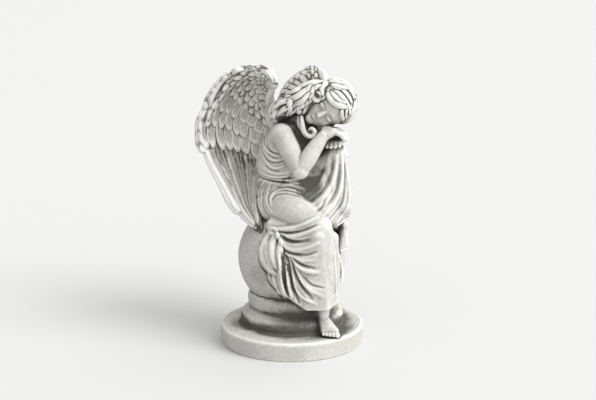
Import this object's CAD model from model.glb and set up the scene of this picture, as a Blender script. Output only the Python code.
import math

import bpy
import numpy as np
from mathutils import Matrix, Vector
from mathutils.bvhtree import BVHTree
from mathutils.kdtree import KDTree


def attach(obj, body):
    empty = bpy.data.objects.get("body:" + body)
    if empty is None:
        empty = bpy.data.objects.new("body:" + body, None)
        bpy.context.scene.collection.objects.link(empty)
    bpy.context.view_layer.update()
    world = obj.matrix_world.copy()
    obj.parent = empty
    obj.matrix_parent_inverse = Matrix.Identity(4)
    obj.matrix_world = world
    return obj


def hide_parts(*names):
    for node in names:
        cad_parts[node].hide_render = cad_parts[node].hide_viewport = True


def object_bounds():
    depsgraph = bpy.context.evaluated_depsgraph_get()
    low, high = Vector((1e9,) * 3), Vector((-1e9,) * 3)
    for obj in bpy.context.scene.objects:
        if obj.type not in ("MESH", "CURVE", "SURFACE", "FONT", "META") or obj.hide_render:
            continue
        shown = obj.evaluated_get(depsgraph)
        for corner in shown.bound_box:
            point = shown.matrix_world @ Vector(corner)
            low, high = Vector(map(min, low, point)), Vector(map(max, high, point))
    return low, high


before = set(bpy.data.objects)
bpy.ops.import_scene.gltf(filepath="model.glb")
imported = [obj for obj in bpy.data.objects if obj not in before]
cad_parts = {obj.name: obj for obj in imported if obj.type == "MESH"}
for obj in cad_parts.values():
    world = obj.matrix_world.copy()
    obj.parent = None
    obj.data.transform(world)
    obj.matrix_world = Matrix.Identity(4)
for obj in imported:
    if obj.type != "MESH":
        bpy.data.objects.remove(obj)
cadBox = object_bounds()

# The figure is modelled in millimetres, and each finished piece is brought to metres.
mm = 0.001

# The photo's camera, which the folds and locks are also drawn from, in millimetres and dots of 596 x 400.
photoView = {
    "eye": (9.3, -1709.0, 594.0),
    "tilt": math.radians(12.4),
    "middle": (298, 200),
    "dots": 1161.0,
    "width": 596,
    "sensor": 36.0,
}


# Curves, sight lines and small helpers

def curveThrough(points, count):
    p = np.array(points, float)
    p = np.vstack([2 * p[0] - p[1], p, 2 * p[-1] - p[-2]])
    at = np.linspace(0, len(p) - 3, count)
    i = np.minimum(at.astype(int), len(p) - 4)
    u = (at - i)[:, None]
    a, b, c, d = p[i], p[i + 1], p[i + 2], p[i + 3]
    return 0.5 * (2 * b + (c - a) * u + (2 * a - 5 * b + 4 * c - d) * u**2 + (3 * b - a - 3 * c + d) * u**3)


def eased(values, count):
    # Single values drawn out smoothly to a number of steps.
    return curveThrough([[value] * 3 for value in values], count)[:, 0]


def between(line, at):
    # Places at fractional steps along a line.
    i = np.minimum(at.astype(int), len(line) - 2)
    u = (at - i)[:, None]
    return line[i] * (1 - u) + line[i + 1] * u


def relaxed(line, times):
    for _ in range(times):
        line[1:-1] = 0.5 * line[1:-1] + 0.25 * (line[:-2] + line[2:])
    return line


def swelling(count, start, stop, power):
    # Shares along a line that is thick in the middle and thin at the ends.
    return np.sin(np.linspace(start, math.pi - stop, count)) ** power


def sight(across, down):
    a = (across - photoView["middle"][0]) / photoView["dots"]
    b = (photoView["middle"][1] - down) / photoView["dots"]
    tilt = photoView["tilt"]
    rise, level = math.sin(tilt), math.cos(tilt)
    return Vector((a, level + b * rise, b * level - rise)).normalized()


def treeOf(*objs):
    places = []
    faces = []
    for obj in objs:
        first = len(places)
        faces += [[v + first for v in p.vertices] for p in obj.data.polygons]
        places += placesOf(obj).tolist()
    return BVHTree.FromPolygons(places, faces)


def laid(tree, dots, count):
    # A line drawn on the photo's view and laid on the surface: points and outward directions.
    eye = Vector(photoView["eye"])
    points = []
    for dot in curveThrough(dots, count):
        look = sight(*dot)
        hit = tree.ray_cast(eye, look)[0]
        if hit is None:
            # A dot beside the surface goes to the place nearest to it, at the depth of the statue's middle.
            hit = tree.find_nearest(eye - look * (eye.y / look.y))[0]
        points.append(hit)
    return settled(tree, np.array(points), eye)


def settled(tree, line, eye):
    line = relaxed(line, 8)
    outward = []
    for point in line:
        near, normal, _, _ = tree.find_nearest(Vector(point))
        outward.append(-normal if normal.dot(eye - near) < 0 else normal)
    outward = relaxed(np.array(outward), 4)
    outward /= np.linalg.norm(outward, axis=1, keepdims=True)
    return line, outward


def finderOf(places):
    finder = KDTree(len(places))
    for k, place in enumerate(places):
        finder.insert(place, k)
    finder.balance()
    return finder


def placesOf(obj):
    co = np.empty(len(obj.data.vertices) * 3, np.float32)
    obj.data.vertices.foreach_get("co", co)
    return co.reshape(-1, 3).astype(float)


def normalsOf(obj):
    no = np.empty(len(obj.data.vertices) * 3, np.float32)
    obj.data.vertex_normals.foreach_get("vector", no)
    return no.reshape(-1, 3).astype(float)


def movePlaces(obj, co):
    obj.data.vertices.foreach_set("co", co.astype(np.float32).ravel())
    obj.data.update()


def store(obj, name, values):
    layer = obj.data.attributes.new(name, "FLOAT", "POINT")
    layer.data.foreach_set("value", values.astype(np.float32))


def moved(co, turn):
    turn = np.array(turn)
    return co @ turn[:3, :3].T + turn[:3, 3]


def pickOnly(*objs):
    bpy.ops.object.select_all(action="DESELECT")
    for obj in objs:
        obj.select_set(True)
    bpy.context.view_layer.objects.active = objs[0]


def applyModifier(obj, kind, **settings):
    modifier = obj.modifiers.new(kind.lower(), kind)
    for name, value in settings.items():
        setattr(modifier, name, value)
    pickOnly(obj)
    bpy.ops.object.modifier_apply(modifier=modifier.name)
    return obj


def softened(obj, times):
    return applyModifier(obj, "SMOOTH", iterations=times, factor=0.5)


def drawnCurve(name, places, settings, radii=None, turns=None):
    # A curve through places, with a thickness and a turn at each.
    data = bpy.data.curves.new(name, "CURVE")
    for key, value in settings.items():
        setattr(data, key, value)
    spline = data.splines.new("POLY")
    spline.points.add(len(places) - 1)
    spline.points.foreach_set("co", np.column_stack([places, np.ones(len(places))]).ravel())
    if radii is not None:
        spline.points.foreach_set("radius", radii)
    if turns is not None:
        spline.points.foreach_set("tilt", turns)
    obj = bpy.data.objects.new(name, data)
    bpy.context.scene.collection.objects.link(obj)
    return obj


class Clay:
    # Masses gathered for one piece, then fused into one skin.
    def __init__(self):
        self.lumps = []

    def ball(self, centre, radii, turn=None):
        rotation = turn.to_euler() if turn else (0, 0, 0)
        bpy.ops.mesh.primitive_ico_sphere_add(
            subdivisions=4, radius=1, location=tuple(centre), rotation=rotation, scale=radii
        )
        self.lumps.append(bpy.context.object)

    def limb(self, points, radii, count=None, sides=8):
        count = count or 7 * len(points)
        line = curveThrough(points, count)
        girth = eased(radii, count)
        ends = np.radians(np.arange(10, 90, 10))
        start = (line[0] - line[1]) / np.linalg.norm(line[0] - line[1])
        stop = (line[-1] - line[-2]) / np.linalg.norm(line[-1] - line[-2])
        head = [line[0] + start * girth[0] * math.sin(a) for a in ends[::-1]]
        tail = [line[-1] + stop * girth[-1] * math.sin(a) for a in ends]
        line = np.vstack([head, line, tail])
        girth = np.concatenate([girth[0] * np.cos(ends[::-1]), girth, girth[-1] * np.cos(ends)])
        settings = {"dimensions": "3D", "bevel_depth": 1, "bevel_resolution": sides, "use_fill_caps": True}
        self.lumps.append(drawnCurve("limb", line, settings, girth))

    def hull(self, balls):
        made = []
        for x, y, z, radius in balls:
            bpy.ops.mesh.primitive_ico_sphere_add(subdivisions=3, radius=radius, location=(x, y, z))
            made.append(bpy.context.object)
        pickOnly(*made)
        bpy.ops.object.join()
        bpy.ops.object.mode_set(mode="EDIT")
        bpy.ops.mesh.select_all(action="SELECT")
        bpy.ops.mesh.convex_hull()
        bpy.ops.object.mode_set(mode="OBJECT")
        self.lumps.append(bpy.context.object)

    def add(self, obj):
        self.lumps.append(obj)

    def rolls(self, tree, lines, sink=0.15):
        # Raised folds, thick in the middle and thin at the ends, part sunk in the surface.
        for radius, dots in lines:
            line, outward = laid(tree, dots, 7 * len(dots))
            swell = radius * swelling(len(line), 0.22, 0.22, 0.5)
            self.limb(line - outward * radius * sink, 1.2 * swell, len(line))

    def joined(self, name):
        bpy.context.view_layer.update()
        pickOnly(*self.lumps)
        bpy.ops.object.convert(target="MESH")
        bpy.ops.object.join()
        obj = bpy.context.object
        bpy.ops.object.transform_apply(location=True, rotation=True, scale=True)
        bpy.ops.object.mode_set(mode="EDIT")
        bpy.ops.mesh.select_all(action="SELECT")
        bpy.ops.mesh.normals_make_consistent(inside=False)
        bpy.ops.object.mode_set(mode="OBJECT")
        obj.name = obj.data.name = name
        return obj

    def fused(self, name, grain, smoothing):
        obj = self.joined(name)
        applyModifier(obj, "REMESH", mode="VOXEL", voxel_size=grain)
        return softened(obj, smoothing)


def sculpt(obj, strokes):
    # Each stroke is (half width, height, points, outward): it raises or presses the skin along a line.
    # Where strokes overlap, the strongest rise and the strongest press are added.
    co = placesOf(obj)
    finder = finderOf(co)
    raised = np.zeros((2, *co.shape))
    most = np.zeros((2, len(co)))
    for halfWidth, height, line, outward in strokes:
        side = int(height < 0)
        steps = np.linalg.norm(np.diff(line, axis=0), axis=1).sum()
        count = max(6, int(steps / (0.13 * halfWidth)))
        at = np.linspace(0, len(line) - 1, count)
        fade = swelling(count, 0.15, 0.15, 0.6)
        for point, out, share in zip(between(line, at), between(outward, at), fade):
            for _, k, away in finder.find_range(Vector(point), halfWidth):
                move = height * share * (0.5 + 0.5 * math.cos(math.pi * away / halfWidth))
                if abs(move) > most[side, k]:
                    most[side, k] = abs(move)
                    raised[side, k] = out * move
    movePlaces(obj, co + raised.sum(axis=0))
    return obj


def edgesOf(obj):
    ends = np.empty(len(obj.data.edges) * 2, np.int32)
    obj.data.edges.foreach_get("vertices", ends)
    return ends.reshape(-1, 2)


def spread(values, ends, counts, times):
    # Averages values with their neighbours' a number of times.
    for _ in range(times):
        total = np.zeros_like(values)
        for column in range(values.shape[1]):
            total[:, column] = np.bincount(ends[:, 0], values[ends[:, 1], column], len(values))
            total[:, column] += np.bincount(ends[:, 1], values[ends[:, 0], column], len(values))
        values = 0.5 * values + 0.5 * total / counts[:, None]
    return values


def wornStone(obj, seed, pits, pitSize, uneven):
    # Slight unevenness and the small round bubbles that a casting leaves.
    co = placesOf(obj)
    out = normalsOf(obj)
    dice = np.random.default_rng(seed)
    wave = np.zeros(len(co))
    for pitch in (38, 21, 11, 5.5):
        for _ in range(3):
            way = dice.normal(size=3)
            way /= np.linalg.norm(way)
            wave += pitch / 38 * np.sin(co @ way * 2 * math.pi / pitch + dice.uniform(0, 6.3))
    co = co + out * (uneven * wave / 3)[:, None]
    finder = finderOf(co)
    for k in dice.integers(0, len(co), pits):
        size = pitSize[0] + (pitSize[1] - pitSize[0]) * dice.random() ** 3
        for _, n, away in finder.find_range(Vector(co[k]), size):
            co[n] -= out[k] * 0.75 * size * (1 - (away / size) ** 2)
    movePlaces(obj, co)
    return obj


# How the wash is found: sight lines from each point, how far they look, how near counts as touching,
# and the rounds of averaging that show fine and coarse grooves, with the depth that each takes as deep.
dirt = {"rays": 18, "lift": 0.4, "reach": 45.0, "near": 6.0, "grooves": ((3, 0.12), (14, 0.5))}

# For each piece: one point in how many is tested, how coarse its mesh is, and how much dirt is held in it.
wear = {
    "plinth": (3, 3.5, 1.7),
    "ball": (3, 3.5, 1.7),
    "dress": (4, 1.0, 1.3),
    "arms_and_feet": (4, 1.0, 1.0),
    "head": (4, 1.0, 0.85),
    "hair": (3, 1.0, 1.05),
    "right_wing": (2, 1.0, 0.6),
    "left_wing": (2, 1.0, 0.8),
}

# Hollows where more of the dark wash has gathered, as (place, reach, amount)
stains = [
    ((20, -26, 314), 26, 0.8),
    ((20, -20, 302), 20, 0.5),
    ((30, -34, 244), 34, 0.55),
    ((-34, -30, 300), 20, 0.2),
    ((4, -60, 180), 24, 0.2),
    ((-10, -72, 48), 58, 0.55),
    ((-42, -58, 120), 62, 0.42),
    ((-80, -20, 28), 46, 0.35),
    ((70, -40, 28), 40, 0.3),
    ((0, 80, 40), 80, 0.3),
]


def weathered(obj, neighbours):
    # Stores how deep in a groove, how near to another form and how shut in each point lies.
    every, coarseness, shelter = wear[obj.name]
    co = placesOf(obj)
    out = normalsOf(obj)
    ends = edgesOf(obj)
    counts = np.maximum(np.bincount(ends.ravel(), minlength=len(co)), 1).astype(float)
    groove = np.zeros(len(co))
    smooth = co.copy()
    done = 0
    for rounds, depth in dirt["grooves"]:
        smooth = spread(smooth, ends, counts, rounds - done)
        done = rounds
        groove += np.clip(((smooth - co) * out).sum(axis=1) / (depth * coarseness), -1, 1) * 0.5
    groove = spread(groove[:, None], ends, counts, 1)[:, 0]
    dice = np.random.default_rng(5)
    ways = dice.normal(size=(dirt["rays"], 3))
    ways /= np.linalg.norm(ways, axis=1, keepdims=True)
    picked = np.arange(0, len(co), every)
    slopes = ways @ out[picked].T
    shade = np.zeros((len(picked), 2))
    for n, k in enumerate(picked):
        start = Vector(co[k] + out[k] * dirt["lift"])
        for way, slope in zip(ways, slopes[:, n]):
            # A sight line that would go into the stone is turned to the open side.
            look = way - 2 * slope * out[k] if slope < 0 else way
            away = neighbours.ray_cast(start, Vector(look), dirt["reach"])[3]
            if away is not None:
                shade[n, 0] += abs(slope)
                shade[n, 1] += abs(slope) * max(0.0, 1 - away / dirt["near"])
    shade /= np.abs(slopes).sum(axis=0)[:, None]
    if every > 1:
        finder = finderOf(co[picked])
        shade = shade[np.array([finder.find(place)[1] for place in co])]
    shade = spread(shade, ends, counts, 2 if every < 3 else 5)
    shade *= (shelter, 0.5 + 0.5 * shelter)
    for place, reach, amount in stains:
        away = np.linalg.norm(co - place, axis=1)
        shade[:, 0] += amount * np.clip(1.3 * (1 - away / reach), 0, 1)
    for name, values in (("groove", groove), ("shut", shade[:, 0]), ("near", shade[:, 1])):
        store(obj, name, np.clip(values, -1, 1))


def thinned(obj, triangles):
    have = sum(len(p.vertices) - 2 for p in obj.data.polygons)
    if have > triangles:
        applyModifier(obj, "DECIMATE", ratio=triangles / have)
    return obj


# The pose, in millimetres, with z up and -y to the viewer

pose = {
    "forward": Vector((0.766, -0.643, 0)),
    "right": Vector((-0.643, -0.766, 0)),
    "pelvis": (-22, 4, 228),
    "rightHip": (-24, -12, 212),
    "rightKnee": (38, -66, 190),
    "rightAnkle": (47, -63, 58),
    "leftHip": (2, 20, 226),
    "leftKnee": (65, -8, 288),
    "leftAnkle": (76, -22, 184),
    "rightShoulder": (-14, -27, 322),
    "rightElbow": (13, -62, 275),
    "rightWrist": (46, -44, 323),
    "leftShoulder": (22, 20, 322),
    "leftElbow": (62, 32, 292),
    "leftWrist": (68, 0, 316),
    "neck": (6, -3, 338),
}


def bodyMasses(clay):
    p = pose
    trunk = [p["pelvis"], (-24, 4, 250), (-22, 2, 268), (-19, 0, 290), (-8, -3, 315), p["neck"]]
    clay.limb(trunk, [30, 25, 31, 29, 25, 13])
    turn = Matrix((p["right"], -p["forward"], (0, 0, 1))).transposed()
    clay.ball((-19, 3, 224), (37, 31, 27), turn)
    clay.limb([p["neck"], (26, -14, 350)], [13, 12])
    clay.limb([(-8, -20, 325), (18, 14, 325)], [14, 14])
    clay.ball((-2, 12, 330), (24, 18, 14))
    clay.hull([(-6, -8, 306, 20), (16, 4, 296, 18), (14, 6, 264, 18), (-14, -2, 270, 22)])


def clothMasses(clay):
    p = pose
    clay.limb([p["rightHip"], (8, -42, 206), p["rightKnee"]], [30, 28, 22])
    clay.limb([p["rightKnee"], (46, -68, 150), (48, -67, 116), (47, -66, 98)], [22, 20, 19, 17])
    clay.limb([p["leftHip"], (34, 4, 260), p["leftKnee"]], [28, 24, 19])
    clay.limb([p["leftKnee"], (71, -14, 240), (73, -18, 215)], [19, 19, 18])
    clay.hull([
        (-26, -46, 190, 12), (38, -78, 184, 14), (60, -64, 176, 9), (-12, -74, 96, 4),
        (22, -86, 74, 3), (52, -84, 74, 4), (66, -66, 80, 4),
    ])
    clay.hull([
        (-14, -8, 236, 16), (20, 4, 250, 16), (54, -6, 266, 14), (64, -12, 230, 16), (42, -52, 196, 16),
    ])
    clay.hull([
        (63, -9, 284, 16), (64, 2, 262, 16), (76, -14, 210, 13), (86, -12, 200, 4), (58, -40, 190, 8),
        (66, 20, 208, 12),
    ])
    clay.hull([
        (62, -56, 156, 6), (66, -48, 148, 5), (75, -49, 112, 3.5), (66, -56, 97, 4), (57, -64, 92, 8),
    ])


def hangingFolds():
    # Folds beyond the left knee, round the back of the hips and down the back of the bodice.
    lines = []
    tops = np.array([(79, -4, 278), (78, 5, 278), (75, 14, 278), (64, 18, 278)], float)
    hems = np.array([(88, 2, 204), (86, 14, 204), (77, 25, 204), (62, 29, 204)], float)
    for n, (top, hem) in enumerate(zip(tops, hems)):
        bend = top * 0.45 + hem * 0.55 + np.array([1.5, 0, 0])
        lines.append((6.5, 2.6 - 0.3 * (n % 2), [top, bend, hem]))
    lines += [
        (4.4, 2.0, [(70, -58, 152), (75, -54, 128), (73, -55, 104)]),
        (4.0, 1.6, [(64, -64, 158), (68, -63, 128), (66, -64, 100)]),
        (3.2, -1.8, [(68, -62, 150), (72, -60, 126), (70, -61, 104)]),
    ]
    for k in range(12):
        angle = math.radians(20 + 16 * k + 4 * math.sin(2.3 * k))
        reach = np.array([math.cos(angle), math.sin(angle), 0])
        bow = np.array([0, 0, 3 * math.sin(1.7 * k)])
        lines.append((
            5.0, 1.6 + 0.7 * math.sin(2.9 * k),
            [
                np.array([-24, 4, 254]) + reach * 25,
                np.array([-21, 4, 238]) + reach * 33 + bow,
                np.array([-19, 3, 222]) + reach * 35 + bow,
                np.array([-16, 2, 206]) + reach * 29,
            ],
        ))
    for k in range(7):
        angle = math.radians(48 + 22 * k)
        reach = np.array([math.cos(angle), math.sin(angle), 0])
        lines.append((
            4.4, 1.1 + 0.5 * math.sin(2.1 * k),
            [
                np.array([-14, -2, 304]) + reach * 24,
                np.array([-19, 0, 286]) + reach * 28,
                np.array([-24, 3, 262]) + reach * 31,
            ],
        ))
    return lines


def solidStrokes(tree, lines):
    # Strokes through given places: each is brought to the skin, and pushes straight out of it.
    strokes = []
    for halfWidth, height, points in lines:
        line = []
        outward = []
        for place in curveThrough(points, 24):
            near, normal, _, _ = tree.find_nearest(Vector(place))
            line.append(near)
            outward.append(normal)
        strokes.append((halfWidth, height, np.array(line), np.array(outward)))
    return strokes


# Folds as (half width, height, dots on the photo): a minus sign presses a valley.
foldLines = [
    (4.6, 2.0, [(262, 176), (255, 187), (252, 202), (257, 217), (267, 228)]),
    (3.6, 1.7, [(266, 178), (260, 189), (259, 204), (266, 220)]),
    (3.4, 1.5, [(272, 180), (268, 191), (267, 203), (273, 214)]),
    (3.0, -1.8, [(259, 181), (255, 194), (256, 209), (263, 222)]),
    (3.0, -1.6, [(266, 183), (263, 194), (263, 207), (269, 217)]),
    (4.4, 2.2, [(271, 206), (272, 195), (284, 189), (300, 191)]),
    (3.0, -3.0, [(272, 200), (276, 195), (286, 193), (298, 196)]),
    (3.4, 1.6, [(283, 185), (292, 185), (303, 189)]),
    (2.6, -1.6, [(282, 188), (291, 188), (302, 192)]),
    (3.2, 1.4, [(276, 180), (286, 181), (298, 184)]),
    (5.4, 3.0, [(260, 221), (270, 228), (284, 229), (302, 225), (318, 217)]),
    (3.4, -3.2, [(279, 232), (290, 233), (304, 230), (316, 225)]),
    (4.6, 2.2, [(277, 233), (289, 237), (303, 234), (320, 227)]),
    (4.8, -5.0, [(281, 235), (288, 241), (298, 242), (309, 240)]),
    (6.6, 3.6, [(277, 234), (282, 243), (290, 249), (303, 249), (318, 243)]),
    (3.8, -3.0, [(284, 251), (293, 254), (306, 255), (316, 252)]),
    (5.2, 2.2, [(281, 248), (289, 255), (300, 260), (312, 260)]),
    (4.2, -3.4, [(292, 257), (301, 265), (314, 268)]),
    (5.8, 2.6, [(288, 254), (296, 264), (306, 271), (319, 272)]),
    (5.8, 2.6, [(292, 261), (299, 277), (309, 289), (323, 296)]),
    (3.6, -2.4, [(303, 276), (312, 285), (324, 288)]),
    (4.6, -4.8, [(291, 258), (295, 273), (302, 287), (312, 298)]),
    (4.6, 2.2, [(290, 266), (294, 284), (302, 297), (316, 304)]),
    (4.0, -4.6, [(287, 257), (290, 272), (293, 288), (299, 302)]),
    (4.2, 3.2, [(285, 256), (287, 271), (289, 288), (294, 303)]),
    (3.4, -3.4, [(282, 254), (284, 268), (285, 284), (289, 298)]),
    (4.0, 2.8, [(279, 256), (280, 270), (282, 286), (287, 299)]),
    (3.0, 1.4, [(334, 244), (335, 262), (336, 284), (337, 304)]),
    (5.6, 1.9, [(330, 152), (327, 168), (320, 184), (307, 195)]),
    (5.0, -1.7, [(334, 160), (330, 176), (323, 190), (312, 200)]),
    (6.0, 2.1, [(337, 156), (335, 174), (328, 192), (314, 204)]),
    (4.8, -2.2, [(340, 166), (338, 184), (332, 200), (320, 209)]),
    (4.8, 2.4, [(342, 152), (342, 176), (337, 200), (324, 215)]),
    (3.8, -2.2, [(345, 164), (345, 186), (341, 205), (330, 219)]),
    (3.8, 2.0, [(346, 160), (349, 186), (348, 206), (337, 223)]),
    (4.6, -2.6, [(326, 200), (322, 207), (317, 211)]),
    (3.4, 1.8, [(256, 168), (264, 174), (277, 177), (293, 176)]),
    (3.2, -3.4, [(256, 174), (264, 179), (277, 182), (293, 182)]),
    (3.0, 1.5, [(263, 146), (267, 155), (274, 160), (282, 159)]),
    (2.4, -1.9, [(262, 152), (267, 160), (275, 163), (284, 161)]),
    (3.0, 1.5, [(263, 155), (267, 163), (275, 168), (284, 166)]),
    (2.6, -1.6, [(265, 165), (271, 170), (279, 171)]),
    (3.0, 1.0, [(268, 171), (278, 174), (288, 172)]),
    (3.0, 1.7, [(272, 124), (265, 134), (264, 145), (269, 153), (279, 157)]),
    (2.0, -1.6, [(275, 125), (268, 135), (267, 145), (272, 152), (280, 154)]),
    (1.9, 1.3, [(280, 119), (290, 127), (297, 138), (306, 144)]),
    (1.3, -0.9, [(283, 119), (292, 127), (298, 138), (307, 143)]),
    (1.9, 1.2, [(286, 119), (294, 127), (300, 137), (308, 142)]),
]

# Rolled edges and the knotted tail as (radius, dots on the photo)
rollLines = [
    (1.8, [(283, 297), (290, 302), (298, 306), (306, 307)]),
    (6.2, [(272, 230), (266, 240), (263, 251), (265, 262), (271, 270), (279, 276)]),
    (6.4, [(275, 234), (272, 246), (273, 259), (279, 271)]),
    (5.6, [(269, 238), (267, 249), (269, 261), (275, 271)]),
    (5.2, [(281, 240), (279, 255), (281, 272)]),
    (3.8, [(268, 229), (272, 233), (277, 233)]),
    (3.4, [(274, 228), (278, 234), (275, 240)]),
    (4.8, [(279, 266), (280, 280), (286, 298)]),
    (4.6, [(273, 272), (276, 283), (283, 295)]),
    (3.0, [(268, 271), (271, 280), (277, 289)]),
    (2.0, [(352, 215), (343, 221), (333, 229)]),
]


def drawnStrokes(tree, lines):
    strokes = []
    for halfWidth, height, dots in lines:
        line, outward = laid(tree, dots, 8 * len(dots))
        strokes.append((halfWidth, height, line, outward))
    return strokes


def fingers(clay, knuckles, tips, girth, arch=2.2):
    first, last = np.array(knuckles, float)
    tipFirst, tipLast = np.array(tips, float)
    for k in range(4):
        base = first + (last - first) * k / 3
        tip = tipFirst + (tipLast - tipFirst) * k / 3
        reach = 1 - 0.1 * abs(k - 1.3)
        bend = base * 0.5 + tip * 0.5 + np.array([0, 0, arch])
        clay.limb([base, bend, base + (tip - base) * reach], [girth, girth * 0.96, girth * 0.8], 18, 5)


def toes(clay, inner, outer, ahead, girth):
    for k in range(5):
        base = Vector(inner).lerp(Vector(outer), k / 4)
        reach = Vector(ahead) * (1 - 0.13 * k)
        radius = girth * (1.3 - 0.12 * k)
        joint = base + reach * 0.55 + Vector((0, 0, 0.6))
        clay.limb([base - reach * 0.6, joint, base + reach], [radius * 0.85, radius * 0.85, radius], 14, 5)


def limbMasses(clay):
    p = pose
    clay.limb([p["rightShoulder"], (-1, -45, 300), p["rightElbow"]], [17.4, 15.4, 11.5], 40, 8)
    clay.ball(p["rightElbow"], (12, 12, 12))
    forearm = [p["rightElbow"], (25, -57, 294), (36, -50, 310), p["rightWrist"]]
    clay.limb(forearm, [11.5, 12.6, 11, 8.2], 40, 8)
    clay.hull([
        (46, -44, 322, 7.5), (50, -34, 323, 6), (61, -42, 329, 5.2), (68, -24, 328, 4.6), (58, -29, 326, 6),
        (49, -33, 332, 5.5),
    ])
    fingers(clay, ((63, -43, 328), (70, -23, 327)), ((78, -42, 317), (84, -21, 315)), 3.9)
    clay.limb([p["leftShoulder"], (44, 28, 306), p["leftElbow"]], [16, 14, 11.5], 40, 8)
    clay.ball(p["leftElbow"], (11.5, 11.5, 11.5))
    clay.limb([p["leftElbow"], p["leftWrist"], (66, -14, 315)], [11.5, 9, 8.5], 40, 8)
    clay.hull([
        (68, -2, 315, 8), (58, -16, 314, 6.5), (74, -14, 313, 6.5), (56, -24, 312, 4.5),
        (72, -24, 312, 4.5),
    ])
    fingers(clay, ((54, -27, 312), (71, -27, 313)), ((51, -35, 304), (70, -36, 305)), 3.3, 1.5)
    clay.limb([(46, -57, 46), p["rightAnkle"], (47, -65, 74), (47, -66, 92)], [7.5, 8.4, 10, 13])
    clay.ball((46, -53, 41), (10, 10, 10))
    clay.hull([(47, -60, 50, 8), (46, -52, 41, 9), (48, -73, 35, 5.5), (64, -73, 35, 6), (56, -70, 40, 7)])
    toes(clay, (65, -75, 33.5), (46, -76, 33), (2, -7.5, -1.2), 3.3)
    clay.limb([(75, -14, 176), p["leftAnkle"], (75, -19, 196), (74, -18, 210)], [6.5, 7.6, 9, 11.5])
    clay.hull([(76, -20, 182, 7), (75, -12, 173, 6.5), (76, -27, 167, 6)])
    clay.hull([(76, -22, 176, 6.5), (76, -28, 165, 6), (72, -38, 156, 4.4), (82, -35, 157, 3.8)])
    toes(clay, (71.5, -40, 154.5), (83, -36, 155.5), (0, -3.4, -4.6), 2.9)


dressMake = {
    "roughGrain": 2.0, "roughSmoothing": 6, "grain": 0.95, "smoothing": 3, "lastSmoothing": 3,
    "triangles": 162000,
}


def makeDress():
    m = dressMake
    rough = Clay()
    bodyMasses(rough)
    clothMasses(rough)
    base = rough.fused("base", m["roughGrain"], m["roughSmoothing"])
    ball = ballShape()
    resting = treeOf(base, ball)
    bpy.data.objects.remove(ball)
    clay = Clay()
    clay.add(base)
    clay.rolls(resting, rollLines)
    obj = clay.fused("dress", m["grain"], m["smoothing"])
    tree = treeOf(obj)
    sculpt(obj, solidStrokes(tree, hangingFolds()))
    sculpt(obj, drawnStrokes(tree, foldLines))
    softened(obj, m["lastSmoothing"])
    return thinned(obj, m["triangles"])


limbMake = {"grain": 0.8, "smoothing": 9, "lastSmoothing": 1, "triangles": 84000}


def makeLimbs():
    m = limbMake
    clay = Clay()
    limbMasses(clay)
    obj = clay.fused("arms_and_feet", m["grain"], m["smoothing"])
    softened(obj, m["lastSmoothing"])
    return thinned(obj, m["triangles"])


# Head and sleeping face, in shares of the head's height

headMake = {
    "centre": Vector((54, -19, 359)),
    "height": 70.0,
    "up": Vector((0.86, -0.20, 0.42)).normalized(),
    "out": Vector((-0.25, -0.95, -0.08)),
    "skullGrain": 0.9,
    "skullSmoothing": 14,
    "grain": 0.62,
    "smoothing": 6,
    "lastSmoothing": 2,
}


def headFrame():
    up = headMake["up"]
    out = (headMake["out"] - up * headMake["out"].dot(up)).normalized()
    return Matrix((up.cross(out), -out, up)).transposed()


def onHead(across, out, up):
    return headMake["centre"] + headFrame() @ Vector((across, -out, up)) * headMake["height"]


def faceLine(tree, points, count=24):
    # A line over the face, given as shares across and up, laid on the skin from in front.
    out = headFrame() @ Vector((0, -1, 0))
    line = []
    for across, up, _ in curveThrough([(a, u, 0) for a, u in points], count):
        start = onHead(across, 1.2, up)
        line.append(tree.ray_cast(start, -out)[0] or onHead(across, 0.35, up))
    return settled(tree, np.array(line), onHead(0, 3, 0))


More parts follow.
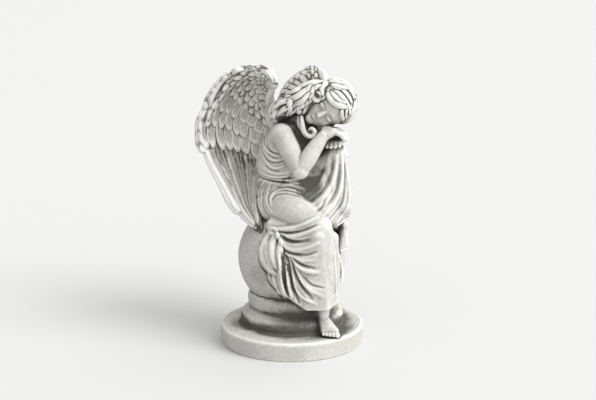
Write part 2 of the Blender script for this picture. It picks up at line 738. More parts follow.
def makeHead():
    turn = headFrame()
    unit = headMake["height"]

    def lump(clay, across, out, up, wide, deep, tall):
        clay.ball(onHead(across, out, up), (wide * unit, deep * unit, tall * unit), turn)

    skull = Clay()
    lump(skull, 0, -0.05, 0.09, 0.37, 0.43, 0.40)
    lump(skull, 0, 0.10, -0.19, 0.27, 0.26, 0.28)
    lump(skull, 0, 0.26, -0.385, 0.115, 0.10, 0.10)
    for side in (-1, 1):
        lump(skull, side * 0.15, 0.15, -0.14, 0.16, 0.165, 0.16)
    base = skull.fused("skull", headMake["skullGrain"], headMake["skullSmoothing"])
    clay = Clay()
    clay.add(base)
    nose = [(0, 0.35, 0.04, 1.7), (0, 0.405, -0.10, 2.3), (0, 0.43, -0.145, 2.9)]
    nose += [(-0.048, 0.37, -0.155, 2.3), (0.048, 0.37, -0.155, 2.3), (0, 0.37, -0.17, 2.2)]
    clay.hull([(*onHead(x, y, z), r) for x, y, z, r in nose])
    for side in (-1, 1):
        lump(clay, side * 0.145, 0.29, -0.012, 0.080, 0.062, 0.052)
    for up, girth in ((-0.236, 1.5), (-0.272, 1.9)):
        lip = [onHead(x, y, up) for x, y in ((-0.085, 0.318), (0, 0.365), (0.085, 0.318))]
        clay.limb(lip, [0.8, girth, 0.8], 20, 5)
    obj = clay.fused("head", headMake["grain"], headMake["smoothing"])
    tree = treeOf(obj)
    strokes = []

    def stroke(halfWidth, height, points):
        line, outward = faceLine(tree, points)
        strokes.append((halfWidth, height, line, outward))

    for side in (-1, 1):
        lid = [(0.075, -0.020), (0.11, -0.038), (0.15, -0.044), (0.19, -0.036), (0.222, -0.016)]
        stroke(1.3, -1.1, [(side * x, u) for x, u in lid])
        stroke(1.3, 0.5, [(side * x, u + 0.020) for x, u in lid])
        stroke(1.5, -0.8, [(side * 0.075, 0.018), (side * 0.14, 0.046), (side * 0.215, 0.020)])
        stroke(3.8, 0.9, [(side * 0.05, 0.075), (side * 0.14, 0.105), (side * 0.24, 0.065)])
        stroke(1.0, -0.9, [(side * 0.026, -0.186), (side * 0.044, -0.182)])
        stroke(1.8, -0.5, [(side * 0.066, -0.115), (side * 0.08, -0.16), (side * 0.072, -0.195)])
    stroke(1.1, -1.1, [(-0.092, -0.250), (-0.05, -0.255), (0, -0.259), (0.05, -0.255), (0.092, -0.250)])
    stroke(1.4, -0.5, [(0, -0.19), (0, -0.222)])
    stroke(2.6, -0.8, [(-0.06, -0.312), (0, -0.320), (0.06, -0.312)])
    sculpt(obj, strokes)
    return softened(obj, headMake["lastSmoothing"])


# Hair: a cap, waves round the back, a swoop over the brow and long fat curls

hairMake = {"strands": 9, "grooveShare": 0.13, "ringPoints": 45, "steps": 30}

# Locks that show from the front as (radius, dots on the photo)
frontLocks = [
    (4.8, [(331, 82), (340, 81), (348, 86), (354, 94), (356, 103)]),
    (5.0, [(331, 84), (338, 85), (345, 89), (351, 96), (354, 105), (353, 114)]),
    (4.6, [(330, 86), (337, 88), (343, 93), (349, 100), (351, 109), (350, 118)]),
    (4.6, [(329, 88), (335, 92), (340, 97), (346, 103), (348, 110), (347, 119)]),
    (4.4, [(329, 89), (332, 95), (337, 100), (343, 103), (347, 102)]),
    (4.6, [(327, 89), (328, 96), (332, 102), (339, 106), (345, 107), (348, 104)]),
    (3.4, [(342, 106), (341, 113), (343, 120), (346, 124)]),
    (3.4, [(346, 106), (345, 114), (347, 122)]),
    (3.6, [(350, 104), (349, 112), (350, 121)]),
    (3.4, [(354, 100), (355, 110), (352, 119)]),
    (5.4, [
        (331, 83), (322, 80), (313, 81), (306, 86), (300, 92),
        (292, 95), (284, 98), (275, 102), (269, 109),
    ]),
    (5.4, [
        (329, 85), (320, 84), (312, 86), (306, 92), (299, 97),
        (291, 100), (283, 103), (276, 107), (271, 114),
    ]),
    (5.2, [
        (327, 86), (318, 86), (311, 91), (306, 97), (300, 102),
        (293, 105), (285, 108), (279, 113), (276, 119),
    ]),
    (5.2, [(292, 97), (283, 100), (275, 105), (269, 111), (267, 118), (270, 124)]),
    (5.0, [(312, 94), (308, 99), (303, 104), (297, 108), (291, 112), (287, 117)]),
    (4.2, [
        (328, 85), (320, 84), (313, 88), (311, 94), (313, 99),
        (318, 100), (321, 96), (319, 92), (316, 92),
    ]),
    (4.0, [(329, 87), (328, 93), (324, 98), (318, 101), (312, 101)]),
    (4.6, [(331, 83), (326, 84), (322, 87), (321, 92), (323, 96)]),
    (4.4, [(318, 84), (310, 88), (306, 94), (307, 100), (304, 106), (301, 112)]),
    (3.8, [(312, 98), (308, 102), (305, 108), (303, 114)]),
    (5.6, [(306, 98), (301, 101), (299, 107), (301, 112), (299, 118), (293, 121)]),
    (5.0, [(301, 96), (294, 98), (290, 104), (290, 110), (286, 116)]),
    (4.6, [(290, 97), (282, 99), (275, 104), (269, 107), (266, 113)]),
]

# Locks combed over the back of the head and the fallen mass, as places that are brought to it
backLocks = [
    [(48, -22, 400), (30, -26, 399), (12, -26, 390), (-4, -24, 379), (-20, -20, 368)],
    [(50, -16, 398), (34, -16, 396), (16, -16, 388), (-2, -14, 377), (-18, -12, 364)],
    [(48, -8, 394), (32, -6, 391), (16, -5, 384), (0, -4, 374), (-14, -2, 360)],
    [(48, -2, 390), (34, 3, 385), (19, 5, 377), (5, 6, 366), (-6, 8, 352)],
    [(50, 4, 384), (38, 11, 377), (25, 13, 368), (12, 13, 357), (4, 13, 344)],
    [(52, 8, 378), (43, 18, 368), (32, 19, 359), (21, 18, 348)],
    [(56, 10, 370), (50, 20, 358), (42, 25, 346), (36, 26, 332)],
    [(40, -12, 398), (22, -11, 392), (6, -10, 382), (-10, -8, 371)],
    [(42, 2, 388), (27, 6, 381), (12, 7, 371), (0, 9, 358)],
]

# Locks that fall down the back and the ring curl under the chin, as (radius, places)
fallingLocks = [
    (6.4, [(14, -16, 376), (-4, -12, 374), (-18, -8, 366), (-30, -9, 356), (-31, -12, 342)]),
    (6.4, [(20, -6, 380), (4, -1, 377), (-12, 3, 367), (-20, 5, 354), (-20, 5, 340)]),
    (6.4, [(26, 6, 378), (14, 12, 369), (4, 14, 356), (0, 14, 342)]),
    (6.4, [(34, 15, 376), (26, 20, 363), (19, 21, 350), (16, 20, 336)]),
    (6.2, [(44, 18, 370), (40, 24, 356), (34, 26, 342), (32, 25, 330)]),
    (6.0, [(54, 14, 360), (54, 22, 346), (48, 26, 334), (44, 26, 324)]),
    (4.4, [
        (14, -32, 352), (15, -37, 342), (17, -40, 331), (22, -42, 323), (30, -42, 321), (34, -41, 328),
        (29, -41, 334), (24, -41, 330),
    ]),
    (4.2, [(10, -28, 350), (12, -34, 338), (18, -37, 328), (26, -36, 318)]),
    (5.0, [(60, -2, 352), (62, 2, 340), (58, 6, 330), (54, 8, 320)]),
]


def strandRing():
    # The outline that a lock is swept with: one lobe for each strand.
    m = hairMake
    angle = np.arange(m["ringPoints"]) / m["ringPoints"] * 2 * math.pi
    reach = 1 - m["grooveShare"] * (1 - np.abs(np.sin(m["strands"] * angle / 2))) ** 1.5
    places = np.column_stack([reach * np.cos(angle), reach * np.sin(angle), np.zeros(len(angle))])
    ring = drawnCurve("strands", places, {})
    ring.data.splines[0].use_cyclic_u = True
    return ring


def lock(clay, ring, line, girth, twist, start):
    settings = {"dimensions": "3D", "bevel_mode": "OBJECT", "bevel_object": ring, "use_fill_caps": True}
    turns = start + twist * np.linspace(0, 1, len(line))
    clay.add(drawnCurve("lock", line, settings, girth, turns))


def hairBulk(clay):
    # The mass under the locks, swept over the head and fallen down the back.
    clay.limb([(34, -29, 384), (25, -27, 371), (18, -26, 362)], [12, 11, 10])
    swept = [(48, -25, 388), (34, -30, 386), (12, -28, 375)]
    swept += [(-7, -26, 363), (-20, -23, 357), (-26, -22, 350)]
    clay.limb(swept, [10, 12.5, 12, 11, 9, 5])
    clay.limb([(26, -14, 372), (6, -12, 367), (-12, -8, 358), (-22, -6, 346)], [17, 15, 13, 9])
    clay.limb([(36, 4, 366), (20, 6, 356), (6, 4, 346)], [15, 13, 10])
    clay.limb([(50, 10, 362), (46, 16, 344), (40, 20, 326)], [13, 11, 8])


def makeHair():
    turn = headFrame()
    unit = headMake["height"]
    ring = strandRing()
    steps = hairMake["steps"]
    capRadii = (0.43 * unit, 0.385 * unit, 0.395 * unit)
    # A rough under mass, which the locks are laid on
    rough = Clay()
    rough.ball(onHead(-0.05, -0.16, 0.16), capRadii, turn)
    rough.ball(onHead(0, -0.05, 0.09), (0.375 * unit, 0.435 * unit, 0.405 * unit), turn)
    hairBulk(rough)
    under = rough.fused("under", 1.5, 4)
    tree = treeOf(under)
    bpy.data.objects.remove(under)
    clay = Clay()
    clay.ball(onHead(-0.05, -0.16, 0.16), capRadii, turn)
    hairBulk(clay)
    # Waves combed down from the crown, right round the cap
    for k in range(17):
        angle = math.radians(-128 + 16 * k)
        line = []
        for share in np.linspace(0.0, 1, steps):
            polar = share * 1.95
            sway = angle + 0.10 * math.sin(share * 11 + 1.3 * k)
            line.append(onHead(
                -0.05 + 0.425 * math.sin(polar) * math.sin(sway),
                -0.16 - 0.38 * math.sin(polar) * math.cos(sway),
                0.16 + 0.39 * math.cos(polar),
            ))
        swell = 7.2 * swelling(steps, 0.4, 0.08, 0.6)
        lock(clay, ring, line, swell, 0.8, 0.7 * k)
    for n, (radius, dots) in enumerate(frontLocks):
        line, outward = laid(tree, dots, steps)
        swell = radius * swelling(steps, 0.2, 0.04, 0.6)
        wave = radius * (0.25 + 0.22 * np.sin(np.linspace(0, 2.2 * len(dots), steps) + n))
        lock(clay, ring, line + outward * wave[:, None], swell, 0.9 + 0.15 * len(dots), 0.9 * n)
    for n, points in enumerate(backLocks):
        line = np.array([tree.find_nearest(Vector(place))[0] for place in curveThrough(points, steps)])
        swell = 6.0 * swelling(steps, 0.3, 0.04, 0.6)
        lock(clay, ring, line, swell, 1.2, 0.8 * n)
    for n, (radius, points) in enumerate(fallingLocks):
        count = steps if len(points) < 7 else 2 * steps
        line = relaxed(curveThrough(points, count), count // 4)
        swell = radius * swelling(count, 0.3, 0.04, 0.55)
        lock(clay, ring, line, swell, 1.6, n)
    obj = clay.joined("hair")
    bpy.data.objects.remove(ring)
    return obj


# Wings

wingMake = {
    "inner": [
        (-33, 8, 373), (-30, 22, 361), (-30, 30, 345), (-31, 34, 326), (-33, 35, 306),
        (-36, 33, 284), (-41, 26, 262), (-48, 10, 238), (-51, -16, 210), (-44, -47, 177),
    ],
    "valley": [
        (-27, -13, 386), (-42, 16, 394), (-60, 33, 385), (-78, 43, 364), (-89, 47, 339),
        (-93, 45, 309), (-88, 38, 276), (-78, 18, 238), (-67, -10, 206), (-45, -47, 178),
    ],
    "outer": [
        (-21, -38, 395), (-37, -28, 416), (-68, -10, 417), (-100, 5, 399), (-125, 10, 361),
        (-136, 8, 324), (-128, 0, 284), (-105, -16, 242), (-80, -36, 203), (-46, -50, 178),
    ],
    "long": 320,
    "wide": 105,
    "thickness": 6.0,
    "rimGirth": [3.0, 6.5, 7.5, 7.5, 6.5, 5.5, 4.5, 3.5, 3.0, 3.0],
    "grids": {"small": (8, 9), "large": (12, 20), "long": (12, 44)},
    "barbShow": {"small": 0.1, "large": 0.8, "long": 0.6},
    "coreGrain": 1.3,
    "coreTriangles": 30000,
    "leftRoot": Vector((0, 46, 0)),
    "leftDrop": Vector((0, 0, 9)),
    "leftSwing": math.radians(-28),
    "midPlane": Vector((12, 8, 0)),
}


def wingSurface(steps=80):
    # The scooped face of the wing, bent through three lines that run from the root to the tip.
    inner, valley, outer = [curveThrough(wingMake[name], steps) for name in ("inner", "valley", "outer")]

    def point(along, across):
        at = np.clip(along, 0, 1) * (steps - 1)
        a = across[:, None]
        lines = [between(line, at) for line in (inner, valley, outer)]
        return lines[0] * (1 - a) * (1 - 2 * a) + lines[1] * 4 * a * (1 - a) + lines[2] * a * (2 * a - 1)

    def surface(along, across):
        step = 0.01
        down = point(along + step, across) - point(along - step, across)
        over = point(along, across + step) - point(along, across - step)
        normal = np.cross(over, down)
        normal /= np.maximum(np.linalg.norm(normal, axis=1, keepdims=True), 1e-9)
        return point(along, across), normal

    return surface


def rimSurface(steps=80):
    # The rounded leading edge, which the small scales wrap round.
    valley, outer = [curveThrough(wingMake[name], steps) for name in ("valley", "outer")]
    ahead = np.gradient(outer, axis=0)
    ahead /= np.linalg.norm(ahead, axis=1, keepdims=True)
    outward = outer - valley
    outward -= ahead * (outward * ahead).sum(axis=1, keepdims=True)
    outward /= np.linalg.norm(outward, axis=1, keepdims=True)
    sideways = np.cross(ahead, outward)
    girth = eased(wingMake["rimGirth"], steps)
    middle = outer - outward * (girth * 0.9 + 1.6)[:, None]

    def surface(along, around):
        at = np.clip(along, 0, 1) * (steps - 1)
        angle = np.radians(130) * (around * 2 - 1)
        normal = between(outward, at) * np.cos(angle)[:, None]
        normal += between(sideways, at) * np.sin(angle)[:, None]
        return between(middle, at) + normal * between(girth[:, None], at), normal

    return surface


def featherBlank(across, along):
    # A flat feather: v across from -1 to 1, u along from 0 to 1, and whether each point is on top.
    bpy.ops.mesh.primitive_grid_add(x_subdivisions=across, y_subdivisions=along, size=2)
    obj = bpy.context.object
    applyModifier(obj, "SOLIDIFY", thickness=1.0, offset=-1)
    flat = placesOf(obj)
    return obj, flat[:, 0], (flat[:, 1] + 1) / 2, flat[:, 2] > -0.5


def layFeather(blank, surface, plan):
    # plan: start and stop along, centre across at both ends, half width, side, thickness, height of the
    # core under it, how pointed and how curved its tip is, how much it tilts, and how much its shaft shows.
    _, v, u, top = blank
    wide = 0.8 + 0.2 * np.minimum(u * 2.5, 1)
    tip = 1 - plan["point"] * (1 - np.sqrt(np.maximum(1 - 0.97 * np.abs(v) ** plan["curve"], 0)))
    share = u * tip
    along = plan["start"] + (plan["stop"] - plan["start"]) * share
    centre = plan["from"] + (plan["to"] - plan["from"]) * share
    point, normal = surface(along, centre + v * wide * plan["halfWidth"])
    edge = np.minimum(1, (1 - np.abs(v)) / 0.16) ** 0.6
    end = np.minimum(1, (1 - u) / 0.1) ** 0.6
    rise = 0.12 + 0.88 * np.minimum(u * 1.15, 1)
    dome = 1 - 0.28 * v**2 + 0.16 * v * plan["tile"]
    shaft = 0.14 * np.exp(-((v / 0.1) ** 2)) * (1 - u**5)
    body = rise * dome * (0.55 + 0.45 * np.minimum(edge, end))
    high = plan["core"] + plan["thick"] * (body + shaft * plan["shaft"])
    high = np.where(top, high, -0.6)
    return point + normal * (plan["side"] * high)[:, None]


def wingPlans(dice):
    # Every feather of a wing, the undermost first.
    surface = wingSurface()
    core = wingMake["thickness"] / 2
    plans = []

    # Each row of coverts: where it starts, how long it is and how wide its feathers are, in millimetres
    rows = [(0.455, 0.18, 17.0), (0.375, 0.165, 16.5), (0.305, 0.15, 15.5)]
    rows += [(0.255 - 0.048 * k, 0.1, 14.0 - 0.35 * k) for k in range(7)]

    def add(kind, start, length, centre, halfWidth, side, thick, **more):
        plan = {
            "kind": kind, "start": start, "stop": start + length, "from": centre, "to": centre,
            "halfWidth": halfWidth, "side": side, "thick": thick, "core": core, "point": 0.42, "curve": 2.0,
            "tile": 1.0, "shaft": 1.0,
        }
        plan.update(more)
        plans.append(plan)

    for side in (1, -1):
        for k in range(6):
            share = 0.06 + 0.83 * k / 5
            start = 0.50 + 0.014 * (k % 2)
            stop = 1 - 0.02 * share - 0.17 * share**6 - 0.012 * (k % 2)
            add(
                "long", start, stop - start, share, 0.112, side, 3.6 + 0.4 * (k % 2),
                point=0.10, curve=1.6, tile=2.2, core=core * 0.7, shaft=0.5,
            )
        for k in range(7):
            start = 0.53 - 0.06 * k
            add(
                "large", start, 0.12, 0.80, 0.10, side, 2.8,
                to=1.02, point=0.3, curve=1.8, core=core * 0.45,
            )
        for n, (start, length, width) in enumerate(rows):
            ends = surface(np.full(12, start + length), np.linspace(0, 1, 12))[0]
            span = np.linalg.norm(np.diff(ends, axis=0), axis=1).sum()
            count = max(4, round(span / width))
            for k in range(count + 1):
                centre = (k + 0.5 * (n % 2)) / count + dice.uniform(-0.008, 0.008)
                if centre > 1.0:
                    continue
                jog = dice.uniform(-0.008, 0.008)
                look = ("large", 3.8, 0.27, 1.0) if n < 3 else ("small", 3.5, 0.36, 0.5)
                kind, thick, point, shaft = look
                add(
                    kind, start + jog, length, centre, 0.56 / count, side, thick * dice.uniform(0.9, 1.12),
                    point=point, shaft=shaft, to=centre + dice.uniform(-0.012, 0.012),
                )
    return plans


def rimPlans(dice):
    # The small scales on the leading edge, row by row towards the shoulder.
    plans = []
    for n in range(11):
        start = 0.37 - 0.04 * n
        for k in range(5):
            centre = (k + 0.5 * (n % 2)) / 4.5
            plans.append({
                "kind": "small", "start": start, "stop": start + 0.085, "from": centre,
                "to": centre + dice.uniform(-0.02, 0.02), "halfWidth": 0.13, "side": 1,
                "thick": 3.2 * dice.uniform(0.85, 1.1), "core": -0.8, "point": 0.4, "curve": 2.0,
                "tile": 0.6, "shaft": 0.5,
            })
    return plans


def makeWing(name, turn):
    dice = np.random.default_rng(3)
    blanks = {kind: featherBlank(*grid) for kind, grid in wingMake["grids"].items()}
    mirrored = turn.determinant() < 0
    feathers = []
    for surface, plans in ((wingSurface(), wingPlans(dice)), (rimSurface(), rimPlans(dice))):
        for plan in plans:
            blank = blanks[plan["kind"]]
            flat, v, u, top = blank
            copy = bpy.data.objects.new("feather", flat.data.copy())
            bpy.context.scene.collection.objects.link(copy)
            movePlaces(copy, moved(layFeather(blank, surface, plan), turn))
            if (plan["side"] < 0) != mirrored:
                copy.data.flip_normals()
            # The barbs slant back from the shaft, and are counted in millimetres.
            longMm = (plan["stop"] - plan["start"]) * wingMake["long"]
            wideMm = plan["halfWidth"] * wingMake["wide"]
            store(copy, "barb", u * longMm + 1.1 * np.abs(v) * wideMm + dice.uniform(0, 9))
            show = wingMake["barbShow"][plan["kind"]] * dice.uniform(0.6, 1.2)
            store(copy, "barbShow", np.where(top, show * np.clip(3 * u - 0.3, 0, 1), 0))
            feathers.append(copy)
    for blank in blanks.values():
        bpy.data.objects.remove(blank[0])
    core = wingCore(turn)
    pickOnly(core, *feathers)
    bpy.ops.object.join()
    core.name = core.data.name = name
    return core


def wingCore(turn):
    # The plain plate under the feathers, its root and its rounded leading edge.
    surface = wingSurface()
    bpy.ops.mesh.primitive_grid_add(x_subdivisions=24, y_subdivisions=60, size=2)
    sheet = bpy.context.object
    applyModifier(sheet, "SOLIDIFY", thickness=1.0, offset=-1)
    flat = placesOf(sheet)
    down = (flat[:, 1] + 1) / 2 * 0.96
    over = (flat[:, 0] + 1) / 2 * (0.94 - 0.45 * np.clip((down - 0.7) / 0.26, 0, 1))
    point, normal = surface(down, over)
    high = np.where(flat[:, 2] < -0.5, -0.5, 0.5) * wingMake["thickness"]
    co = point + normal * high[:, None]
    movePlaces(sheet, moved(co, turn))
    clay = Clay()
    clay.add(sheet)
    rimLine = rimSurface()
    steps = np.linspace(0, 0.5, 12)
    rim = np.mean([rimLine(steps, np.full(12, around))[0] for around in (0.115, 0.5, 0.885)], axis=0)
    girth = eased(wingMake["rimGirth"], 23)[:12]
    clay.limb([turn @ Vector(p) for p in rim], girth * 0.95)
    root = [(-14, 18, 318), (-30, 26, 340), (-33, 22, 360), (-33, 8, 374), (-28, -14, 388)]
    clay.limb([turn @ Vector(p) for p in root], [13, 10, 7.5, 6, 5], 40, 8)
    return thinned(clay.fused("core", wingMake["coreGrain"], 4), wingMake["coreTriangles"])


# Base, foot moulding, ring and ball, drawn up ring by ring

plinthMake = {
    "base": 109.0, "baseHigh": 28.0, "bevel": 3.0, "foot": 79.0, "footHigh": 29.0, "neck": 63.5,
    "bulge": 4.0, "ringHigh": 22.0, "ball": 82.0, "setback": 4.0, "sides": 256,
    "grain": 2.1, "ballGrain": 2.2,
}


def arc(radius, height, reach, rise, first, last, count):
    # Part of an ellipse round a point of the profile, between two angles in degrees.
    return [
        (radius + reach * math.cos(a), height + rise * math.sin(a))
        for a in np.radians(np.linspace(first, last, count))
    ]


def turned(name, profile, setback):
    # A circle is drawn up and scaled ring by ring.
    bpy.ops.mesh.primitive_circle_add(
        vertices=plinthMake["sides"], radius=profile[0][0], fill_type="NGON",
        location=(0, setback, profile[0][1]),
    )
    obj = bpy.context.object
    bpy.ops.object.mode_set(mode="EDIT")
    bpy.ops.mesh.select_all(action="SELECT")
    for (radius, height), (nextRadius, nextHeight) in zip(profile, profile[1:]):
        bpy.ops.mesh.extrude_region_move(TRANSFORM_OT_translate={"value": (0, 0, nextHeight - height)})
        bpy.ops.transform.resize(
            value=(nextRadius / radius, nextRadius / radius, 1), center_override=(0, setback, nextHeight)
        )
    bpy.ops.mesh.select_all(action="SELECT")
    bpy.ops.mesh.normals_make_consistent(inside=False)
    bpy.ops.object.mode_set(mode="OBJECT")
    bpy.ops.object.transform_apply(location=True, rotation=True, scale=True)
    obj.name = obj.data.name = name
    return obj


def makePlinth():
    m = plinthMake
    top = m["baseHigh"] + m["footHigh"]
    bulge = 0.42 * m["footHigh"]
    base = [(m["base"] - 1.2, 0), (m["base"], 1.2)]
    base += arc(m["base"] - m["bevel"], m["baseHigh"] - m["bevel"], m["bevel"], m["bevel"], 0, 90, 7)
    base += [(m["foot"] - bulge - 6, m["baseHigh"])]
    foot = arc(m["foot"] - bulge, m["baseHigh"] + 0.85 * bulge, bulge, bulge, -75, 62, 14)
    step = foot[-1][0] - m["neck"]
    rise = top - foot[-1][1]
    cove = [(m["neck"] + step * (1 - s) ** 2.2, foot[-1][1] + rise * s) for s in np.linspace(0.12, 1, 8)]
    ring = arc(m["neck"], top + m["ringHigh"] / 2, m["bulge"], m["ringHigh"] / 2, -82, 82, 12)
    ring += [(m["neck"] - 1.5, top + m["ringHigh"]), (m["neck"] - 4, top + m["ringHigh"] + 1)]
    disc = turned("base", base + [(20, m["baseHigh"])], 0)
    stem = turned("stem", [(m["foot"] - bulge - 8, m["baseHigh"] - 6)] + foot + cove + ring, m["setback"])
    clay = Clay()
    clay.add(disc)
    clay.add(stem)
    obj = clay.fused("plinth", m["grain"], 4)
    return wornStone(obj, seed=11, pits=150, pitSize=(1.0, 2.4), uneven=0.22)


def ballShape():
    m = plinthMake
    centre = m["baseHigh"] + m["footHigh"] + m["ringHigh"] + math.sqrt(m["ball"] ** 2 - m["neck"] ** 2)
    clay = Clay()
    clay.ball((0, m["setback"], centre), (m["ball"],) * 3)
    return clay.joined("ball")


def makeBall():
    obj = applyModifier(ballShape(), "REMESH", mode="VOXEL", voxel_size=plinthMake["ballGrain"])
    softened(obj, 2)
    return wornStone(obj, seed=12, pits=90, pitSize=(1.0, 2.2), uneven=0.2)


# Stone

class Socket:
    # Wraps a shader socket so that sums and products of masks can be written plainly.
    def __init__(self, maker, out):
        self.maker = maker
        self.out = out

    def math(self, kind, a, b):
        return self.maker.node("ShaderNodeMath", {"operation": kind}, {0: a, 1: b})

    def __add__(self, other):
        return self.math("ADD", self, other)

    def __radd__(self, other):
        return self.math("ADD", other, self)

    def __sub__(self, other):
        return self.math("SUBTRACT", self, other)

    def __rsub__(self, other):
        return self.math("SUBTRACT", other, self)

    def __mul__(self, other):
        return self.math("MULTIPLY", self, other)

    def __rmul__(self, other):
        return self.math("MULTIPLY", other, self)


class Maker:
    def __init__(self, name):
        self.material = bpy.data.materials.new(name)
        self.material.use_nodes = True
        self.tree = self.material.node_tree
        self.shader = self.tree.nodes["Principled BSDF"]

    def node(self, kind, settings=None, inputs=None, output=0):
        made = self.tree.nodes.new(kind)
        for name, value in (settings or {}).items():
            setattr(made, name, value)
        for name, value in (inputs or {}).items():
            self.feed(made.inputs[name], value)
        return Socket(self, made.outputs[output])

    def feed(self, socket, value):
        if isinstance(value, Socket):
            self.tree.links.new(value.out, socket)
        else:
            socket.default_value = value

    def mix(self, factor, a, b):
        return self.node("ShaderNodeMix", {"data_type": "RGBA"}, {0: factor, 6: a, 7: b}, 2)

    def ramp(self, value, low, high):
        # A mask that rises softly from 0 at the low value to 1 at the high one.
        settings = {"interpolation_type": "SMOOTHSTEP"}
        return self.node("ShaderNodeMapRange", settings, {0: value, 1: low, 2: high, 3: 0.0, 4: 1.0})

    def noise(self, spot, scale, detail, roughness=0.5):
        inputs = {"Vector": spot, "Scale": scale, "Detail": detail, "Roughness": roughness}
        return self.node("ShaderNodeTexNoise", None, inputs)

    def stored(self, name):
        return self.node("ShaderNodeAttribute", {"attribute_name": name}, output=2)


stoneLook = {
    "pale": (0.59, 0.58, 0.545, 1),
    "cool": (0.50, 0.492, 0.463, 1),
    "sandy": (0.35, 0.34, 0.312, 1),
    "worn": (0.79, 0.78, 0.74, 1),
    "wash": (0.060, 0.056, 0.046, 1),
    "mostWash": 0.92,
    "roughness": 0.88,
    "grainBump": 0.6,
    "grainDepth": 0.0008,
}
storedMasks = ("groove", "shut", "near", "barb", "barbShow")


def makeStone():
    m = Maker("cast stone")
    look = stoneLook
    spot = m.node("ShaderNodeTexCoord", output=3)
    cloud = m.noise(spot, 16.0, 6.0, 0.6)
    fine = m.noise(spot, 260.0, 5.0, 0.7)
    sand = m.noise(spot, 1100.0, 3.0, 0.6)
    groove, shut, near, barb, barbShow = [m.stored(name) for name in storedMasks]
    # Scratched barbs, here and there on the large feathers
    saw = barb * 0.2 + m.noise(spot, 90.0, 2.0) * 1.5
    saw = m.node("ShaderNodeMath", {"operation": "PINGPONG"}, {0: saw, 1: 0.5})
    patch = m.ramp(m.noise(spot, 55.0, 1.0), 0.48, 0.66)
    scratch = (1.0 - m.ramp(saw, 0.0, 0.16)) * barbShow * patch
    # Pinholes in loose groups
    bubbles = m.node("ShaderNodeTexVoronoi", None, {"Vector": spot, "Scale": 190.0, "Randomness": 1.0})
    hole = (1.0 - m.ramp(bubbles, 0.05, 0.14)) * m.ramp(m.noise(spot, 60.0, 2.0), 0.6, 0.7)
    # Sandy stone, paler on worn edges, then the dark wash over it
    body = m.mix(m.ramp(cloud, 0.35, 0.65), look["pale"], look["cool"])
    body = m.mix(m.ramp(fine, 0.3, 0.7) * 0.55, body, look["sandy"])
    edges = m.ramp(groove * -1.0, 0.12, 0.75)
    body = m.mix(edges * 0.75, body, look["worn"])
    hollows = m.ramp(groove + (fine - 0.5) * 0.35, 0.05, 0.6)
    tight = m.ramp(near + (fine - 0.5) * 0.12, 0.08, 0.42)
    closed = m.ramp(shut + (cloud - 0.5) * 0.35 + (fine - 0.5) * 0.2, 0.28, 0.88)
    grime = hollows * (0.45 + shut * 0.6) + tight * 0.7 + closed * 0.9
    grime = grime + hole * 0.5 + scratch * 0.5
    grime = m.node("ShaderNodeMath", {"operation": "MINIMUM"}, {0: grime, 1: look["mostWash"]})
    body = m.mix(grime, body, look["wash"])
    m.feed(m.shader.inputs["Base Color"], body)
    m.feed(m.shader.inputs["Roughness"], look["roughness"] - edges * 0.12)
    m.shader.inputs["Specular IOR Level"].default_value = 0.3
    height = fine * 0.35 + sand * 0.3 + cloud * 0.3 - hole * 1.2 - scratch * 0.9
    inputs = {"Strength": look["grainBump"], "Distance": look["grainDepth"], "Height": height}
    m.feed(m.shader.inputs["Normal"], m.node("ShaderNodeBump", None, inputs))
    return m.material


# Studio

studio = {
    "floorWide": 60,
    "floor": (0.575, 0.575, 0.573, 1),
    "room": (1.0, 1.0, 0.995, 1),
    "roomLean": (0.66, -0.2, 0.6),
    "roomSpan": (-0.6, 0.9),
    "roomDim": 0.22,
    "roomBright": 1.5,
    "sun": 2.3,
    "sunSize": math.radians(36),
    "sunFrom": Vector((1.0, -0.5, 0.95)),
}


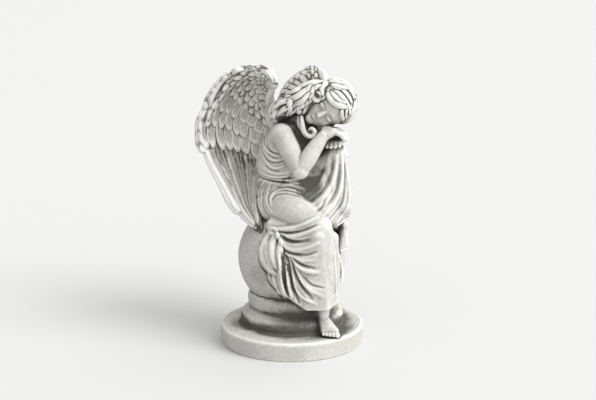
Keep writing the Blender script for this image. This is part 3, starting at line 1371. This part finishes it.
def makeStudio():
    bpy.ops.mesh.primitive_plane_add(size=studio["floorWide"], location=(0, 0, 0))
    floor = bpy.context.object
    floor.name = "floor"
    m = Maker("floor")
    m.shader.inputs["Base Color"].default_value = studio["floor"]
    m.shader.inputs["Roughness"].default_value = 0.9
    floor.data.materials.append(m.material)
    world = bpy.data.worlds.new("studio")
    bpy.context.scene.world = world
    world.use_nodes = True
    # The room is brightest above and to the right of the statue, and dim to the left and below.
    nodes = world.node_tree.nodes
    links = world.node_tree.links
    spot = nodes.new("ShaderNodeTexCoord")
    lean = nodes.new("ShaderNodeVectorMath")
    lean.operation = "DOT_PRODUCT"
    lean.inputs[1].default_value = studio["roomLean"]
    links.new(spot.outputs["Generated"], lean.inputs[0])
    glow = nodes.new("ShaderNodeMapRange")
    low, high = studio["roomSpan"]
    levels = {"From Min": low, "From Max": high}
    levels.update({"To Min": studio["roomDim"], "To Max": studio["roomBright"]})
    for name, value in levels.items():
        glow.inputs[name].default_value = value
    links.new(lean.outputs["Value"], glow.inputs["Value"])
    links.new(glow.outputs[0], nodes["Background"].inputs["Strength"])
    nodes["Background"].inputs["Color"].default_value = studio["room"]
    turn = studio["sunFrom"].to_track_quat("Z", "Y").to_euler()
    bpy.ops.object.light_add(type="SUN", location=studio["sunFrom"], rotation=turn)
    sun = bpy.context.object
    sun.data.energy = studio["sun"]
    sun.data.angle = studio["sunSize"]
    bpy.context.scene.view_settings.view_transform = "Standard"


def makeCamera():
    tilt = photoView["tilt"]
    bpy.ops.object.camera_add(
        location=Vector(photoView["eye"]) * mm, rotation=(math.pi / 2 - tilt, 0, 0)
    )
    camera = bpy.context.object
    camera.data.sensor_width = photoView["sensor"]
    camera.data.lens = photoView["dots"] / photoView["width"] * photoView["sensor"]
    bpy.context.scene.camera = camera


def mirroredWing():
    # The left wing is the right one mirrored across the body, swung outwards and set a little lower.
    flip = Matrix.Scale(-1, 4, pose["right"].normalized())
    plane = Matrix.Translation(wingMake["midPlane"])
    mirror = plane @ flip @ plane.inverted()
    swing = Matrix.Rotation(wingMake["leftSwing"], 4, "Z")
    root = wingMake["leftRoot"]
    return Matrix.Translation(root - wingMake["leftDrop"]) @ swing @ Matrix.Translation(-root) @ mirror


makeCamera()
makeStudio()
print("camera and studio ready")
pieces = [makePlinth(), makeBall()]
print("plinth and ball made")
pieces.append(wornStone(makeDress(), seed=13, pits=24, pitSize=(0.4, 0.9), uneven=0.12))
print("dress made")
pieces.append(wornStone(makeLimbs(), seed=14, pits=12, pitSize=(0.4, 0.9), uneven=0.08))
print("arms and feet made")
pieces.append(makeHead())
pieces.append(makeHair())
print("head and hair made")
pieces.append(makeWing("right_wing", Matrix.Identity(4)))
pieces.append(makeWing("left_wing", mirroredWing()))
print("wings made")

stone = makeStone()
whole = treeOf(*pieces)
roomLow, roomHigh = np.array([list(c) for c in cadBox]) / mm
for piece in pieces:
    # Each piece is weathered among all of them, kept inside the part's own size and brought to metres.
    weathered(piece, whole)
    movePlaces(piece, np.clip(placesOf(piece), roomLow, roomHigh))
    piece.data.transform(Matrix.Scale(mm, 4))
    pickOnly(piece)
    bpy.ops.object.shade_smooth()
    piece.data.materials.clear()
    piece.data.materials.append(stone)
    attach(piece, "root")
    print(piece.name, sum(len(p.vertices) - 2 for p in piece.data.polygons), "triangles")
for piece in pieces:
    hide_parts("angel_statue")
print("weathering done")
